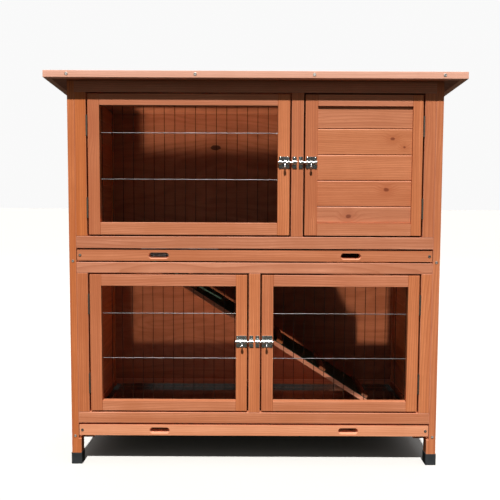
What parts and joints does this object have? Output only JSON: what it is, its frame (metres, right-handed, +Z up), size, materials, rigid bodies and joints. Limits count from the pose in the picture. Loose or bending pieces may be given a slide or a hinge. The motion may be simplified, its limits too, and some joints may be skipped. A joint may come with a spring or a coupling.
{
  "type": "rabbit hutch",
  "caption": "Two-storey wooden rabbit hutch with hinged roof, mesh and boarded front doors on barrel bolts, pull-out trays and an inside ramp.",
  "frame": {"origin": "on the ground at the centre of the overall outline", "axes": "+X along the front from left to right, +Y from the front to the back, +Z up"},
  "size_m": [1.028, 0.5232, 0.9865],
  "materials": {
    "stained_fir": "orange stained, satin",
    "plywood": "stained plywood, matt",
    "tread_wood": "dark brown, matt",
    "felt": "green mineral-faced felt",
    "wire": "galvanised",
    "zinc": "zinc plated",
    "tray": "galvanised sheet",
    "rubber": "matt black"
  },
  "bodies": {
    "root": {"front_legs": "stained_fir", "rear_legs": "stained_fir", "foot_caps": "rubber", "header_rail": "stained_fir", "front_rails": "stained_fir", "front_stiles": "stained_fir", "mullions": "stained_fir", "side_rails": "stained_fir", "side_boards_left": "stained_fir", "side_boards_right": "stained_fir", "back_rails": "stained_fir", "back_panel_upper": "plywood", "back_panel_lower": "plywood", "partition": "plywood", "tray_runners": "stained_fir", "ramp_bearer": "stained_fir", "frame_screws": "zinc", "latch_keepers": "zinc", "door_hinge_fixed": "zinc", "door_hinge_pins": "zinc", "roof_hinge_fixed": "zinc", "ramp_hinge_fixed": "zinc"},
    "roof": {"roof_panel": "plywood", "roof_fascia": "stained_fir", "roof_felt": "felt", "roof_hinge_moving": "zinc", "fascia_screws": "zinc"},
    "upper_tray": {"upper_tray_front": "stained_fir", "upper_tray_pan": "tray", "upper_tray_screws": "zinc"},
    "lower_tray": {"lower_tray_front": "stained_fir", "lower_tray_pan": "tray", "lower_tray_screws": "zinc"},
    "ramp": {"ramp_board": "stained_fir", "ramp_felt": "felt", "ramp_treads": "tread_wood", "ramp_hinge_moving": "zinc"},
    "door_ul": {"door_ul_frame": "stained_fir", "door_ul_mesh": "wire", "door_ul_leaves": "zinc", "door_ul_latch": "zinc"},
    "bolt_ul": {"door_ul_bolt": "zinc"},
    "door_ur": {"door_ur_frame": "stained_fir", "door_ur_boards": "stained_fir", "door_ur_leaves": "zinc", "door_ur_latch": "zinc"},
    "bolt_ur": {"door_ur_bolt": "zinc"},
    "door_ll": {"door_ll_frame": "stained_fir", "door_ll_mesh": "wire", "door_ll_leaves": "zinc", "door_ll_latch": "zinc"},
    "bolt_ll": {"door_ll_bolt": "zinc"},
    "door_lr": {"door_lr_frame": "stained_fir", "door_lr_mesh": "wire", "door_lr_leaves": "zinc", "door_lr_latch": "zinc"},
    "bolt_lr": {"door_lr_bolt": "zinc"}
  },
  "joints": [
    {"name": "roof_lid", "type": "hinge", "parent": "root", "child": "roof", "pos_m": [0, 0.2357, 0.9393], "axis": [-1, 0, 0], "range_deg": [0, 95]},
    {"name": "upper_tray_slide", "type": "slide", "parent": "root", "child": "upper_tray", "axis": [0, -1, 0], "range_m": [0, 0.4]},
    {"name": "lower_tray_slide", "type": "slide", "parent": "root", "child": "lower_tray", "axis": [0, -1, 0], "range_m": [0, 0.4]},
    {"name": "ramp_lift", "type": "hinge", "parent": "root", "child": "ramp", "pos_m": [-0.32834, 0, 0.5096], "axis": [0, -1, 0], "range_deg": [0, 14]},
    {"name": "door_ul_hinge", "type": "hinge", "parent": "root", "child": "door_ul", "pos_m": [-0.417, -0.2298, 0.755], "axis": [0, 0, -1], "range_deg": [0, 170]},
    {"name": "door_ur_hinge", "type": "hinge", "parent": "root", "child": "door_ur", "pos_m": [0.417, -0.2298, 0.755], "axis": [0, 0, 1], "range_deg": [0, 170]},
    {"name": "door_ll_hinge", "type": "hinge", "parent": "root", "child": "door_ll", "pos_m": [-0.417, -0.2298, 0.31], "axis": [0, 0, -1], "range_deg": [0, 170]},
    {"name": "door_lr_hinge", "type": "hinge", "parent": "root", "child": "door_lr", "pos_m": [0.417, -0.2298, 0.31], "axis": [0, 0, 1], "range_deg": [0, 170]},
    {"name": "bolt_ul_slide", "type": "slide", "parent": "door_ul", "child": "bolt_ul", "axis": [1, 0, 0], "range_m": [0, 0.0055]},
    {"name": "bolt_ur_slide", "type": "slide", "parent": "door_ur", "child": "bolt_ur", "axis": [-1, 0, 0], "range_m": [0, 0.0055]},
    {"name": "bolt_ll_slide", "type": "slide", "parent": "door_ll", "child": "bolt_ll", "axis": [1, 0, 0], "range_m": [0, 0.0055]},
    {"name": "bolt_lr_slide", "type": "slide", "parent": "door_lr", "child": "bolt_lr", "axis": [-1, 0, 0], "range_m": [0, 0.0055]}
  ]
}
